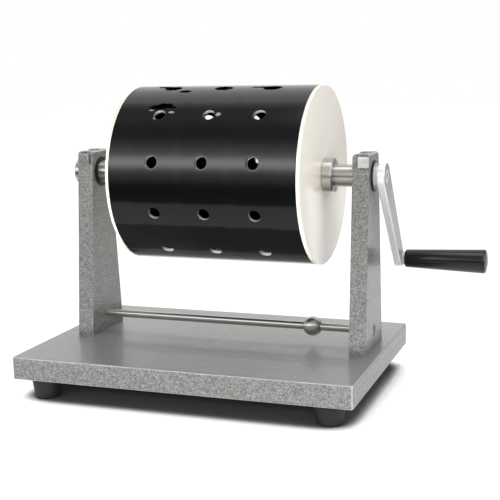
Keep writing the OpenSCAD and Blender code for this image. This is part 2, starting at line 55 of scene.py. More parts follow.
def makeCamera(s):
    cosYaw, sinYaw = math.cos(s["yaw"]), math.sin(s["yaw"])
    cosPitch, sinPitch = math.cos(s["pitch"]), math.sin(s["pitch"])
    cosRoll, sinRoll = math.cos(s["roll"]), math.sin(s["roll"])
    ahead = Vector((-sinYaw * cosPitch, cosYaw * cosPitch, sinPitch))
    side = Vector((cosYaw, sinYaw, 0))
    up = side.cross(ahead)
    side, up = side * cosRoll + up * sinRoll, up * cosRoll - side * sinRoll
    data = bpy.data.cameras.new("photoCamera")
    data.sensor_width = s["sensor"]
    data.lens = s["focalPixels"] * s["sensor"] / s["imagePixels"]
    data.clip_start, data.clip_end = s["near"], s["far"]
    cam = bpy.data.objects.new("photoCamera", data)
    cam.matrix_world = Matrix((
        (side.x, up.x, -ahead.x, s["place"][0]),
        (side.y, up.y, -ahead.y, s["place"][1]),
        (side.z, up.z, -ahead.z, s["place"][2]),
        (0, 0, 0, 1)))
    scene.collection.objects.link(cam)
    scene.camera = cam


makeCamera(cameraSet)
scene.view_settings.view_transform = "Standard"


# Places taken from the CAD nodes, and the drum's size, which the tube, the discs and the enamel share
def centreOf(node):
    low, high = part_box(node)
    return (low + high) / 2


axisY, axisZ = centreOf("drum_shaft").y, centreOf("drum_shaft").z
handleY, handleZ = centreOf("handle_grip").y, centreOf("handle_grip").z
rodY, rodZ = centreOf("guide_rod").y, centreOf("guide_rod").z
drumRadius = 76 * mm
drumWall = 3 * mm
mergeReach = 0.002 * mm  # points nearer to each other than this become one
tiny = 1e-9  # keeps a division away from 0


# Helpers for nodes and colours
def lin(hexColour):  # sRGB hex to linear RGBA
    c = np.array([int(hexColour[i:i + 2], 16) for i in (1, 3, 5)]) / 255
    c = np.where(c <= 0.04045, c / 12.92, ((c + 0.055) / 1.055) ** 2.4)
    return (*[float(v) for v in c], 1.0)


def put(tree, kind, sockets=None, **settings):  # adds one node, sets it and links what comes from other nodes
    made = tree.nodes.new("ShaderNode" + kind)
    for name, value in settings.items():
        setattr(made, name, value)
    for name, value in (sockets or {}).items():
        if isinstance(value, bpy.types.NodeSocket):
            tree.links.new(value, made.inputs[name])
        else:
            made.inputs[name].default_value = value
    return made


def newMaterial(name):
    mat = bpy.data.materials.new(name)
    mat.use_nodes = True
    mat.node_tree.nodes.clear()
    tree = mat.node_tree
    shader = put(tree, "BsdfPrincipled")
    put(tree, "OutputMaterial", {"Surface": shader.outputs[0]})
    place = put(tree, "TexCoord").outputs["Object"]
    return mat, tree, shader, place


def feed(tree, shader, **sockets):  # sets or links the shader's own sockets, named without spaces
    for name, value in sockets.items():
        socket = shader.inputs[name.replace("_", " ")]
        if isinstance(value, bpy.types.NodeSocket):
            tree.links.new(value, socket)
        else:
            socket.default_value = value


# Materials. Each has a dictionary of its pattern sizes, its colours and its (least, most) roughness.
# In the paint's, "sides" and the pair for the tops are the pattern's values that are painted dark and light
# there; the tops' pair makes top faces lighter, a painted light from above. A face counts as a top where its
# normal's z is over "topFrom", and as a rounded edge as its normal's largest part falls through the edge
# range; rounded edges are mixed towards the near-white edge colour, a painted highlight
paintLook = {"pit": 0.92 * mm, "ripple": 7 * mm, "grainsPerPit": 1.3, "bump": 0.1 * mm,
             "dark": "#616160", "light": "#989896", "edge": "#E2E2E0", "edgeHighlightShare": 0.4,
             "sides": (0.05, 0.6), "litTops": (-0.9, 0.65), "topFrom": 0.6, "edgeHighlightFall": (0.92, 0.8),
             "rough": (0.26, 0.4)}


def hammertoneEnamel(s):
    # Aluminium-pigmented hammer enamel, sprayed: bright flakes drift into cells with dark pits between, under
    # a clear skin; its pattern is softer on top faces, which are also painted lighter, a painted light from
    # above, and rounded edges are painted near white, a painted highlight
    mat, tree, shader, place = newMaterial("hammertoneEnamel")
    wander = put(tree, "TexNoise", {"Vector": place, "Scale": 1 / s["ripple"], "Detail": 2.0})
    cells = put(tree, "TexVoronoi", {"Vector": place, "Scale": 1 / s["pit"], "Randomness": 1.0}, feature="F1")
    grain = put(tree, "TexNoise", {"Vector": place, "Scale": s["grainsPerPit"] / s["pit"], "Detail": 3.0,
                                   "Roughness": 0.6})
    flake = put(tree, "SeparateColor", {"Color": cells.outputs["Color"]})
    blend = put(tree, "Math", {0: flake.outputs[0], 1: grain.outputs["Fac"]}, operation="MULTIPLY")
    normal = put(tree, "TexCoord").outputs["Normal"]
    upward = put(tree, "SeparateXYZ", {"Vector": normal}).outputs[2]
    # painted light: top faces take a lighter, softer share of the flake colours
    top = put(tree, "MapRange", {"Value": upward, "From Min": s["topFrom"]})
    low = put(tree, "MapRange", {"Value": top.outputs[0], "To Min": s["sides"][0], "To Max": s["litTops"][0]})
    high = put(tree, "MapRange", {"Value": top.outputs[0], "To Min": s["sides"][1], "To Max": s["litTops"][1]})
    share = put(tree, "MapRange", {"Value": blend.outputs[0], "From Min": low.outputs[0],
                                   "From Max": high.outputs[0]})
    shade = put(tree, "Mix", {0: share.outputs[0], 6: lin(s["dark"]), 7: lin(s["light"])}, data_type="RGBA")
    # painted highlight: faces whose normal leans off the axes, the rounded edges, are mixed towards near white
    size = put(tree, "VectorMath", {0: normal}, operation="ABSOLUTE")
    side = put(tree, "SeparateXYZ", {"Vector": size.outputs[0]})
    most = put(tree, "Math", {0: side.outputs[0], 1: side.outputs[1]}, operation="MAXIMUM")
    most = put(tree, "Math", {0: most.outputs[0], 1: side.outputs[2]}, operation="MAXIMUM")
    edge = put(tree, "MapRange", {"Value": most.outputs[0], "From Min": s["edgeHighlightFall"][0],
                                  "From Max": s["edgeHighlightFall"][1], "To Max": s["edgeHighlightShare"]})
    shade = put(tree, "Mix", {0: edge.outputs[0], 6: shade.outputs[2], 7: lin(s["edge"])}, data_type="RGBA")
    height = put(tree, "Math", {0: cells.outputs["Distance"], 1: grain.outputs["Fac"]}, operation="ADD")
    bump = put(tree, "Bump", {"Height": height.outputs[0], "Strength": 0.4, "Distance": s["bump"]})
    rough = put(tree, "MapRange", {"Value": wander.outputs["Fac"], "To Min": s["rough"][0],
                                   "To Max": s["rough"][1]})
    feed(tree, shader, Base_Color=shade.outputs[2], Metallic=0.3, Roughness=rough.outputs[0],
         Normal=bump.outputs[0], Specular_IOR_Level=0.22, Coat_Weight=0.2, Coat_Roughness=0.07)
    return mat


# Drum: the worn spots are ellipses on its skin, each by its place along the drum in mm, its angle up from the
# front in degrees, and its half length and half height in mm
drumLook = {"cloud": 14 * mm, "peel": 1.2 * mm, "bump": 0.05 * mm, "tear": 2.6 * mm,
            "enamel": "#0B0B0C", "soot": "#030303", "metal": "#8E8E8C",
            "rough": (0.09, 0.14), "wornRough": 0.6, "shine": 0.5,
            "scorched": [(-81, 81.5, 7, 3.2), (-72, 78, 7.5, 6.5), (-57.5, 71.2, 5.5, 2.7),
                         (-25, 77.6, 8, 6.2), (11, 79.5, 13, 2.6), (18, 77.6, 8.5, 6.2),
                         (-72, 52, 9, 2.9), (-67, 53.8, 7, 2.6), (-61, 51.8, 5.5, 1.5)],
            "bare": [(-77.8, 48.9, 2.2, 0.7), (-59, 47.2, 2.8, 1.1), (-16.8, 45.4, 2.2, 1.9),
                     (-71, 42.2, 3, 1.1)],
            "scorchedTear": 0.5, "bareTear": 0.4}


def onDrum(tree, place):  # a point's place along the drum and its arc up from the front, both in metres
    centred = put(tree, "Mapping", {"Vector": place, "Location": (0, -axisY, -axisZ)})
    part = put(tree, "SeparateXYZ", {"Vector": centred.outputs[0]})
    front = put(tree, "Math", {0: part.outputs[1], 1: -1.0}, operation="MULTIPLY")
    angle = put(tree, "Math", {0: part.outputs[2], 1: front.outputs[0]}, operation="ARCTAN2")
    arc = put(tree, "Math", {0: angle.outputs[0], 1: drumRadius}, operation="MULTIPLY")
    return put(tree, "CombineXYZ", {0: part.outputs[0], 1: arc.outputs[0]}).outputs[0]


def wornSpots(tree, skin, spots, tear, ragged):
    # 1 inside any of the ellipses, fading from 0.9 to 1.1 of their radii; a noise of the tear's size moves
    # their edges in and out by the share "ragged" of the radii
    edge = put(tree, "TexNoise", {"Vector": skin, "Scale": 1 / tear, "Detail": 3.0})
    push = put(tree, "MapRange", {"Value": edge.outputs["Fac"], "To Min": -ragged, "To Max": ragged})
    total = None
    for along, degrees, halfLong, halfHigh in spots:
        middle = (along * mm, math.radians(degrees) * drumRadius, 0)
        off = put(tree, "VectorMath", {0: skin, 1: middle}, operation="SUBTRACT")
        size = (1 / (halfLong * mm), 1 / (halfHigh * mm), 0)
        off = put(tree, "VectorMath", {0: off.outputs[0], 1: size}, operation="MULTIPLY")
        far = put(tree, "VectorMath", {0: off.outputs[0]}, operation="LENGTH")
        far = put(tree, "Math", {0: far.outputs["Value"], 1: push.outputs[0]}, operation="ADD")
        inside = put(tree, "MapRange", {"Value": far.outputs[0], "From Min": 0.9, "From Max": 1.1,
                                        "To Min": 1.0, "To Max": 0.0}).outputs[0]
        if total is None:
            total = inside
        else:
            total = put(tree, "Math", {0: total, 1: inside}, operation="MAXIMUM").outputs[0]
    return total


def drumEnamel(s):
    # Black stoving enamel on an aluminium tube: near black, satin-gloss, faintly uneven like sprayed lacquer;
    # round some holes its skin is scorched matt, or chipped to the dull metal
    mat, tree, shader, place = newMaterial("blackStovingEnamel")
    cloud = put(tree, "TexNoise", {"Vector": place, "Scale": 1 / s["cloud"], "Detail": 3.0})
    peel = put(tree, "TexNoise", {"Vector": place, "Scale": 1 / s["peel"], "Detail": 2.0})
    skin = onDrum(tree, place)
    scorched = wornSpots(tree, skin, s["scorched"], s["tear"], s["scorchedTear"])
    bare = wornSpots(tree, skin, s["bare"], s["tear"], s["bareTear"])
    worn = put(tree, "Math", {0: scorched, 1: bare}, operation="MAXIMUM")
    rough = put(tree, "MapRange", {"Value": cloud.outputs["Fac"], "To Min": s["rough"][0],
                                   "To Max": s["rough"][1]})
    rough = put(tree, "Mix", {0: worn.outputs[0], 2: rough.outputs[0], 3: s["wornRough"]})
    tone = put(tree, "Mix", {0: scorched, 6: lin(s["enamel"]), 7: lin(s["soot"])}, data_type="RGBA")
    tone = put(tree, "Mix", {0: bare, 6: tone.outputs[2], 7: lin(s["metal"])}, data_type="RGBA")
    shine = put(tree, "MapRange", {"Value": scorched, "To Min": s["shine"], "To Max": 0.0})
    bump = put(tree, "Bump", {"Height": peel.outputs["Fac"], "Strength": 0.06, "Distance": s["bump"]})
    feed(tree, shader, Base_Color=tone.outputs[2], Roughness=rough.outputs[0], Normal=bump.outputs[0],
         Specular_IOR_Level=shine.outputs[0])
    return mat


ivoryLook = {"cloud": 40 * mm, "dark": "#EAE3D7", "light": "#F0EBE1"}


def ivoryAcrylic(s):
    # Ivory cast acrylic, machined and polished: warm white, with a smooth skin that mirrors softly
    mat, tree, shader, place = newMaterial("ivoryCastAcrylic")
    cloud = put(tree, "TexNoise", {"Vector": place, "Scale": 1 / s["cloud"], "Detail": 2.0})
    tone = put(tree, "Mix", {0: cloud.outputs["Fac"], 6: lin(s["dark"]), 7: lin(s["light"])},
               data_type="RGBA")
    feed(tree, shader, Base_Color=tone.outputs[2], Roughness=0.2, Specular_IOR_Level=0.35, Coat_Weight=0.15,
         Coat_Roughness=0.04)
    return mat


# Steel: a face counts as a flat end where its normal's x is over "flatFrom"; flat ends and the steel painted
# black for shade are rougher.
# The lathe's lines are really about 0.1 mm apart, too fine to show, so they are drawn at 0.5 mm
steelLook = {"lines": 0.5 * mm, "smear": 9 * mm, "bump": 0.02 * mm, "endDark": "#8C8B88",
             "endLight": "#C9C7C3", "shadeBlack": "#0D0D0D", "rough": (0.3, 0.36), "endRougher": 0.2,
             "shadedRougher": 0.5, "flatFrom": 0.8}
nowhere = (1.0, 2.0)  # places along x that no piece reaches


def turnedSteel(s, name, colour, axis, shadedSpan=nowhere):
    # Bright steel turned and polished: fine rings round its axis stay from the lathe, round it and on its
    # flat ends; between the two places along x in the shaded span it is painted black, a painted shade for the
    # dark inside the drum
    mat, tree, shader, place = newMaterial(name)
    # where a point lies along and out from the axis, for patterns that run round it
    centred = put(tree, "Mapping", {"Vector": place, "Location": (0, -axis[0], -axis[1])})
    part = put(tree, "SeparateXYZ", {"Vector": centred.outputs[0]})
    across = put(tree, "CombineXYZ", {1: part.outputs[1], 2: part.outputs[2]})
    radius = put(tree, "VectorMath", {0: across.outputs[0]}, operation="LENGTH")
    ring = put(tree, "CombineXYZ", {0: part.outputs[0], 1: radius.outputs["Value"]})
    lines = put(tree, "TexNoise", {"Vector": ring.outputs[0], "Scale": 1 / s["lines"], "Detail": 2.0})
    smear = put(tree, "TexNoise", {"Vector": place, "Scale": 1 / s["smear"], "Detail": 2.0})
    normal = put(tree, "SeparateXYZ", {"Vector": put(tree, "TexCoord").outputs["Normal"]})
    endways = put(tree, "Math", {0: normal.outputs[0]}, operation="ABSOLUTE")
    flat = put(tree, "Math", {0: endways.outputs[0], 1: s["flatFrom"]}, operation="GREATER_THAN")
    # painted shade: between the two places along x the steel is mixed to black
    after = put(tree, "Math", {0: part.outputs[0], 1: shadedSpan[0]}, operation="GREATER_THAN")
    before = put(tree, "Math", {0: part.outputs[0], 1: shadedSpan[1]}, operation="LESS_THAN")
    black = put(tree, "Math", {0: after.outputs[0], 1: before.outputs[0]}, operation="MULTIPLY")
    ends = put(tree, "Mix", {0: lines.outputs["Fac"], 6: lin(s["endDark"]), 7: lin(s["endLight"])},
               data_type="RGBA")
    tone = put(tree, "Mix", {0: flat.outputs[0], 6: lin(colour), 7: ends.outputs[2]}, data_type="RGBA")
    tone = put(tree, "Mix", {0: black.outputs[0], 6: tone.outputs[2], 7: lin(s["shadeBlack"])}, data_type="RGBA")
    rough = put(tree, "MapRange", {"Value": smear.outputs["Fac"], "To Min": s["rough"][0],
                                   "To Max": s["rough"][1]})
    for mask, rougher in ((flat, s["endRougher"]), (black, s["shadedRougher"])):
        rough = put(tree, "Math", {0: mask.outputs[0], 1: rougher, 2: rough.outputs[0]},
                    operation="MULTIPLY_ADD")
    bump = put(tree, "Bump", {"Height": lines.outputs["Fac"], "Strength": 0.12, "Distance": s["bump"]})
    # the rings stretch each highlight along the axis
    ringWay = put(tree, "Tangent", direction_type="RADIAL", axis="X")
    feed(tree, shader, Base_Color=tone.outputs[2], Metallic=1.0, Roughness=rough.outputs[0],
         Normal=bump.outputs[0], Anisotropic=1.0, Anisotropic_Rotation=0.25, Tangent=ringWay.outputs[0])
    return mat


zincLook = {"cloud": 2.5 * mm, "dark": "#B9BABB", "light": "#E4E4E2", "rough": (0.25, 0.42)}


def zincPlate(s):
    # Zinc-plated steel hardware: cool grey metal, cloudy and satin
    mat, tree, shader, place = newMaterial("zincPlatedSteel")
    cloud = put(tree, "TexNoise", {"Vector": place, "Scale": 1 / s["cloud"], "Detail": 4.0})
    tone = put(tree, "Mix", {0: cloud.outputs["Fac"], 6: lin(s["dark"]), 7: lin(s["light"])},
               data_type="RGBA")
    rough = put(tree, "MapRange", {"Value": cloud.outputs["Fac"], "To Min": s["rough"][0],
                                   "To Max": s["rough"][1]})
    feed(tree, shader, Base_Color=tone.outputs[2], Metallic=0.6, Roughness=rough.outputs[0])
    return mat


# Crank arm: its outer flat begins as the normal's x rises through "flatRise", and is painted darker than the
# sides, a painted shade. The scratches are really about 0.1 mm apart, too fine to show, so they are drawn at
# 0.8 mm
armLook = {"scratch": 0.8 * mm, "mottle": 3.5 * mm, "sideDark": "#D9D9D8", "sideLight": "#F2F2F0",
           "shadedFlatDark": "#6A6A6A", "shadedFlatLight": "#ADADAC", "flatRise": (0.75, 0.95), "rough": (0.26, 0.38)}


def linishedAluminium(s):
    # Aluminium bar: its sides are linished bright, with fine scratches; its outer flat is mottled and painted
    # darker, a painted shade
    mat, tree, shader, place = newMaterial("linishedAluminium")
    scratch = put(tree, "TexNoise", {"Vector": place, "Scale": 1 / s["scratch"], "Detail": 4.0})
    mottle = put(tree, "TexNoise", {"Vector": place, "Scale": 1 / s["mottle"], "Detail": 3.0})
    normal = put(tree, "SeparateXYZ", {"Vector": put(tree, "TexCoord").outputs["Normal"]})
    flat = put(tree, "MapRange", {"Value": normal.outputs[0], "From Min": s["flatRise"][0],
                                  "From Max": s["flatRise"][1]})
    side = put(tree, "Mix", {0: scratch.outputs["Fac"], 6: lin(s["sideDark"]), 7: lin(s["sideLight"])},
               data_type="RGBA")
    # painted shade: the outer flat's colours are a darker copy of the aluminium
    dull = put(tree, "Mix", {0: mottle.outputs["Fac"], 6: lin(s["shadedFlatDark"]), 7: lin(s["shadedFlatLight"])},
               data_type="RGBA")
    tone = put(tree, "Mix", {0: flat.outputs[0], 6: side.outputs[2], 7: dull.outputs[2]}, data_type="RGBA")
    rough = put(tree, "MapRange", {"Value": scratch.outputs["Fac"], "To Min": s["rough"][0],
                                   "To Max": s["rough"][1]})
    feed(tree, shader, Base_Color=tone.outputs[2], Metallic=0.45, Roughness=rough.outputs[0])
    return mat


rubberLook = {"bloom": 5 * mm, "dark": "#121212", "light": "#1E1E1E"}


def blackRubber(s):
    # Moulded black rubber: dull, with a dusty bloom
    mat, tree, shader, place = newMaterial("mouldedBlackRubber")
    bloom = put(tree, "TexNoise", {"Vector": place, "Scale": 1 / s["bloom"], "Detail": 4.0})
    tone = put(tree, "Mix", {0: bloom.outputs["Fac"], 6: lin(s["dark"]), 7: lin(s["light"])},
               data_type="RGBA")
    feed(tree, shader, Base_Color=tone.outputs[2], Roughness=0.6)
    return mat


plasticLook = {"smear": 6 * mm, "colour": "#0C0C0D", "roughShares": (0.8, 1.2)}


def blackPlastic(s, name, roughness, sheen):
    # Turned and polished black plastic: deep black, small clean highlights
    mat, tree, shader, place = newMaterial(name)
    smear = put(tree, "TexNoise", {"Vector": place, "Scale": 1 / s["smear"], "Detail": 2.0})
    least, most = (roughness * share for share in s["roughShares"])
    rough = put(tree, "MapRange", {"Value": smear.outputs["Fac"], "To Min": least, "To Max": most})
    feed(tree, shader, Base_Color=lin(s["colour"]), Roughness=rough.outputs[0], Specular_IOR_Level=sheen)
    return mat


discFaces = (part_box("left_end_disc")[0].x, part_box("right_end_disc")[1].x)  # the steel between them is painted black, a painted shade for the dark inside the drum
looks = {
    "hammertone_paint": hammertoneEnamel(paintLook),
    "black_drum": drumEnamel(drumLook),
    "ivory_plastic": ivoryAcrylic(ivoryLook),
    "polished_steel": turnedSteel(steelLook, "polishedBrightSteel", "#CBCAC6", (axisY, axisZ), discFaces),
    "rod_steel": turnedSteel(steelLook, "drawnBrightSteel", "#CFCECA", (rodY, rodZ)),
    "zinc_steel": zincPlate(zincLook),
    "crank_aluminium": linishedAluminium(armLook),
    "black_rubber": blackRubber(rubberLook),
    "black_acetal": blackPlastic(plasticLook, "turnedBlackAcetal", roughness=0.3, sheen=0.2),
    "black_grip": blackPlastic(plasticLook, "turnedBlackPhenolic", roughness=0.22, sheen=0.5),
}
for name, node in nodes.items():
    for holder in node.material_slots:
        own = holder.material.name.split(".")[0]
        holder.material = looks["rod_steel" if name in ("guide_rod", "rod_ball") else own]
print("materials made:", len(looks))


# Helpers for meshes
def meshFrom(name, points, quads, look, sharpDegrees=35):
    # points and quads into a mesh: doubles merged, so that poles and seams close, and faces turned outwards
    mesh = bpy.data.meshes.new(name)
    mesh.from_pydata(points.tolist(), [], quads.tolist())
    work = bmesh.new()
    work.from_mesh(mesh)
    bmesh.ops.remove_doubles(work, verts=work.verts, dist=mergeReach)
    bmesh.ops.recalc_face_normals(work, faces=work.faces)
    work.to_mesh(mesh)
    work.free()
    mesh.shade_smooth()
    mesh.set_sharp_from_angle(angle=math.radians(sharpDegrees))
    mesh.materials.append(looks[look])
    piece = bpy.data.objects.new(name, mesh)
    scene.collection.objects.link(piece)
    return piece


def gridQuads(rows, columns, wrapRows=False, wrapColumns=False):
    # corner numbers of the quads of a rows x columns grid of points, joined end to end where it wraps
    number = np.arange(rows * columns).reshape(rows, columns)
    if wrapRows:
        number = np.vstack([number, number[:1]])
    if wrapColumns:
        number = np.hstack([number, number[:, :1]])
    return np.stack([number[:-1, :-1], number[1:, :-1], number[1:, 1:], number[:-1, 1:]], -1).reshape(-1, 4)


def rounded(corners, steps=6):
    # an outline of (a, b, radius) corners, each swapped for an arc that touches both its sides; the outline
    # closes
    c = np.array(corners, float)
    here, radius = c[:, :2], c[:, 2]
    back, ahead = np.roll(here, 1, 0) - here, np.roll(here, -1, 0) - here
    back /= np.linalg.norm(back, axis=1)[:, None]
    ahead /= np.linalg.norm(ahead, axis=1)[:, None]
    half = np.arccos(np.clip((back * ahead).sum(1), -1, 1)) / 2
    middle = back + ahead
    middle /= np.maximum(np.linalg.norm(middle, axis=1), tiny)[:, None]
    centre = here + middle * (radius / np.sin(half))[:, None]
    start = here + back * (radius / np.tan(half))[:, None] - centre
    stop = here + ahead * (radius / np.tan(half))[:, None] - centre
    t = np.linspace(0, 1, steps)[None, :, None]
    sweep = (math.pi - 2 * half)[:, None, None]
    weight = np.maximum(np.sin(sweep), tiny)
    arc = (np.sin((1 - t) * sweep) * start[:, None] + np.sin(t * sweep) * stop[:, None]) / weight
    return (centre[:, None] + arc).reshape(-1, 2)


def lathe(name, outline, axis, look, axisPlace, around=144, sharpDegrees=35):
    # a closed outline of (along, radius) turned a full circle round an axis through axisPlace
    turn = np.linspace(0, 2 * math.pi, around, endpoint=False)[:, None]
    along, radius = outline[:, 0][None, :], outline[:, 1][None, :]
    a, b, c = along + 0 * turn, radius * np.cos(turn), radius * np.sin(turn)
    grid = np.stack({"x": (a, b, c), "z": (b, c, a)}[axis], -1) + np.array(axisPlace)
    quads = gridQuads(around, len(outline), True, True)
    return meshFrom(name, grid.reshape(-1, 3), quads, look, sharpDegrees)


def dress(piece, body, replaced):
    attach(piece, body)
    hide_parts(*replaced)


# Drum tube: enamelled tube with rows of round holes, the first row at "firstRow" degrees up from the front. The
# shares say how far out a cell's rings lie on the skin, from the hole's edge (0) to the cell's border (1). The
# drilled walls of the holes are bare metal from "bareIn" over the inner skin to "bareOut" under the outer one;
# where they are higher over the shaft than the given share of their radius they keep the black enamel, a
# painted shade, because the photo shows those holes dark
drumSet = {"hole": 5 * mm, "edge": 0.35 * mm, "columns": 3, "rows": 11, "pitch": 44.1 * mm, "shift": 1.2 * mm,
           "firstRow": 12.4, "side": 12, "edgeSteps": 4, "outerShares": (1, 0.7, 0.42, 0.2, 0.07),
           "innerShares": (0.2, 0.6, 1), "bareIn": 0.1 * mm, "bareOut": 0.12 * mm, "bareEnds": 1 * mm,
           "shadedTopShare": 0.9}


def onTube(x, angle, r):  # a place along the drum, an angle up from its front and a radius, as a point
    return np.stack([x + 0 * r, axisY - r * np.cos(angle), axisZ + r * np.sin(angle)], -1)


def drumTube(s):
    # Each hole has a cell of the tube to itself. In a cell, one number runs round the hole and the other goes
    # from the cell's border across the outer skin, over the rounded edge, down the hole's wall and back out
    # across the inner skin.
    low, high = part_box("drum_shell")
    outer, inner, hole, edge, side = drumRadius, drumRadius - drumWall, s["hole"], s["edge"], s["side"]
    rowStep = 2 * math.pi / s["rows"]
    middle = (low.x + high.x) / 2 + s["shift"]
    columnX = middle + (np.arange(s["columns"]) - (s["columns"] - 1) / 2) * s["pitch"]
    rowAngle = math.radians(s["firstRow"]) + np.arange(s["rows"]) * rowStep
    tick = np.arange(side) / side
    one = np.ones(side)
    squareX = np.concatenate([tick * 2 - 1, one, 1 - tick * 2, -one]) / 2
    squareT = np.concatenate([-one, tick * 2 - 1, one, 1 - tick * 2]) / 2
    spin = np.arctan2(squareT, squareX)
    holeX, holeT = np.cos(spin), np.sin(spin)
    bend = np.linspace(0, math.pi / 2, s["edgeSteps"])
    rings = [(share, outer, hole + edge) for share in s["outerShares"]]
    rings += [(0, outer - edge * (1 - math.cos(a)), hole + edge * (1 - math.sin(a))) for a in bend]
    rings += [(0, inner + edge * (1 - math.cos(a)), hole + edge * (1 - math.sin(a))) for a in bend[::-1]]
    rings += [(share, inner, hole + edge) for share in s["innerShares"]]
    share, radius, reach = (np.array(v)[None, :] for v in zip(*rings))
    offX = squareX[:, None] * s["pitch"] * share + holeX[:, None] * reach * (1 - share)
    bow = np.arcsin(holeT[:, None] * reach / radius)
    offA = squareT[:, None] * rowStep * share + bow * (1 - share)
    grids = [onTube(x + offX, angle + offA, radius + 0 * offX) for x in columnX for angle in rowAngle]
    # the two plain ends: a profile round the wall's end, turned with the cells' own divisions
    turn = (rowAngle[0] - rowStep / 2 + np.arange(side * s["rows"]) * rowStep / side)[:, None]
    rim = edge / 2
    for column, tubeEnd, sign in ((columnX[0], low.x, 1), (columnX[-1], high.x, -1)):
        border = column - sign * s["pitch"] / 2
        profile = np.array([(border, outer), (tubeEnd + sign * rim, outer), (tubeEnd, outer - rim),
                            (tubeEnd, inner + rim), (tubeEnd + sign * rim, inner), (border, inner)])
        grids.append(onTube(profile[:, 0][None, :] + 0 * turn, turn, profile[:, 1][None, :] + 0 * turn))
    points, quads, count = [], [], 0
    for grid in grids:
        points.append(grid.reshape(-1, 3))
        quads.append(gridQuads(*grid.shape[:2], wrapRows=True) + count)
        count += len(points[-1])
    tube = meshFrom("drumTube", np.concatenate(points), np.concatenate(quads), "black_drum", sharpDegrees=40)
    tube.data.materials.append(looks["crank_aluminium"])
    for face in tube.data.polygons:
        c = face.center
        r = math.hypot(c.y - axisY, c.z - axisZ)
        inWall = inner + s["bareIn"] < r < outer - s["bareOut"]
        onHole = low.x + s["bareEnds"] < c.x < high.x - s["bareEnds"]
        # painted shade: the walls of the top holes keep the black enamel
        if inWall and onHole and c.z - axisZ <= s["shadedTopShare"] * r:
            face.material_index = 1
    return tube


dress(drumTube(drumSet), "drum", ["drum_shell"])

# End discs: machined rims, with the ring that holds the tube
discSet = {"thick": 3 * mm, "bore": 9.53 * mm, "boreRound": 0.2 * mm, "rimRound": 0.7 * mm,
           "rimInnerRound": 0.15 * mm, "ring": 72.97 * mm, "ringWall": 4 * mm, "ringDepth": 6 * mm,
           "ringRound": 0.4 * mm, "seatRound": 0.1 * mm, "shadedFrom": 0.2 * mm}


def endDisc(s, name, node, faceX, inward):
    # the disc's section, outer face first, turned round the shaft
    thick, ringEnd, ringIn = s["thick"], s["thick"] + s["ringDepth"], s["ring"] - s["ringWall"]
    section = rounded([(0, s["bore"], s["boreRound"]), (0, drumRadius, s["rimRound"]),
                       (thick, drumRadius, s["rimInnerRound"]), (thick, s["ring"], s["seatRound"]),
                       (ringEnd, s["ring"], s["ringRound"]), (ringEnd, ringIn, s["ringRound"]),
                       (thick, ringIn, s["ringRound"]), (thick, s["bore"], s["boreRound"])])
    section[:, 0] = faceX + inward * section[:, 0]
    disc = lathe(name, section, "x", "ivory_plastic", (0, axisY, axisZ), around=192, sharpDegrees=50)
    disc.data.materials.append(looks["black_acetal"])
    for face in disc.data.polygons:  # painted shade: the side inside the drum gets black plastic, standing in for the dark inside it
        if inward * (face.center.x - faceX) > thick - s["shadedFrom"]:
            face.material_index = 1
    dress(disc, "drum", [node])


endDisc(discSet, "leftDisc", "left_end_disc", discFaces[0], 1)
endDisc(discSet, "rightDisc", "right_end_disc", discFaces[1], -1)

# Handle: turned grip with a shallow ring near its free end, and a slightly crowned end
gripSet = {"near": 8 * mm, "far": 10.6 * mm, "bore": 3.55 * mm, "boreRound": 0.1 * mm, "nearRound": 1.6 * mm,
           "farRound": 2.4 * mm, "ringBack": 3.2 * mm, "ringDepth": 0.35 * mm, "ringWidth": 0.9 * mm,
           "ringRound": 0.4 * mm, "ringInnerRound": 0.15 * mm, "capRamp": 0.6, "crown": 1.1 * mm,
           "steps": 8, "around": 128}


def gripAndCap(s):
    low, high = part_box("handle_grip")
    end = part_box("grip_cap")[1].x - low.x
    joint = end - s["ringBack"]
    slope = (s["far"] - s["near"]) / (high.x - low.x)
    ringStart = joint - s["ringWidth"]
    grip = rounded([(0, s["bore"], s["boreRound"]), (0, s["near"], s["nearRound"]),
                    (ringStart, s["near"] + slope * ringStart, s["ringRound"]),
                    (joint, s["near"] + slope * joint - s["ringDepth"], s["ringInnerRound"]),
                    (joint, s["bore"], s["boreRound"])])
    grip[:, 0] += low.x
    body = lathe("gripBody", grip, "x", "black_grip", (0, handleY, handleZ), s["around"])
    dress(body, "grip", ["handle_grip"])
    # the cap: a rim, a rounded shoulder and a crown that rises as the square of the way in
    far, bend = s["far"], s["farRound"]
    shoulder = np.linspace(0, math.pi / 2, s["steps"] + 1)[1:]
    way = np.linspace(1, 0, s["steps"] + 1)[1:]
    x = [joint, joint + s["ringWidth"] * s["capRamp"]]
    x += list(end - s["crown"] - bend + bend * np.sin(shoulder))
    r = [far - s["ringDepth"], far] + list(far - bend + bend * np.cos(shoulder))
    x += list(end - s["crown"] * way ** 2) + [joint]
    r += list((far - bend) * way) + [0.0]
    cap = np.array([x, r]).T
    cap[:, 0] += low.x
    piece = lathe("gripCap", cap, "x", "black_grip", (0, handleY, handleZ), s["around"])
    dress(piece, "grip", ["grip_cap"])


gripAndCap(gripSet)

# Feet: tapered rubber with a soft lower edge and a screw recess underneath
footSet = {"top": 13.2 * mm, "low": 10.5 * mm, "height": 18 * mm, "soft": 1.8 * mm, "crisp": 0.3 * mm,
           "recess": 6.5 * mm, "recessDepth": 8 * mm, "hole": 2.53 * mm, "holeRound": 0.1 * mm, "around": 96}


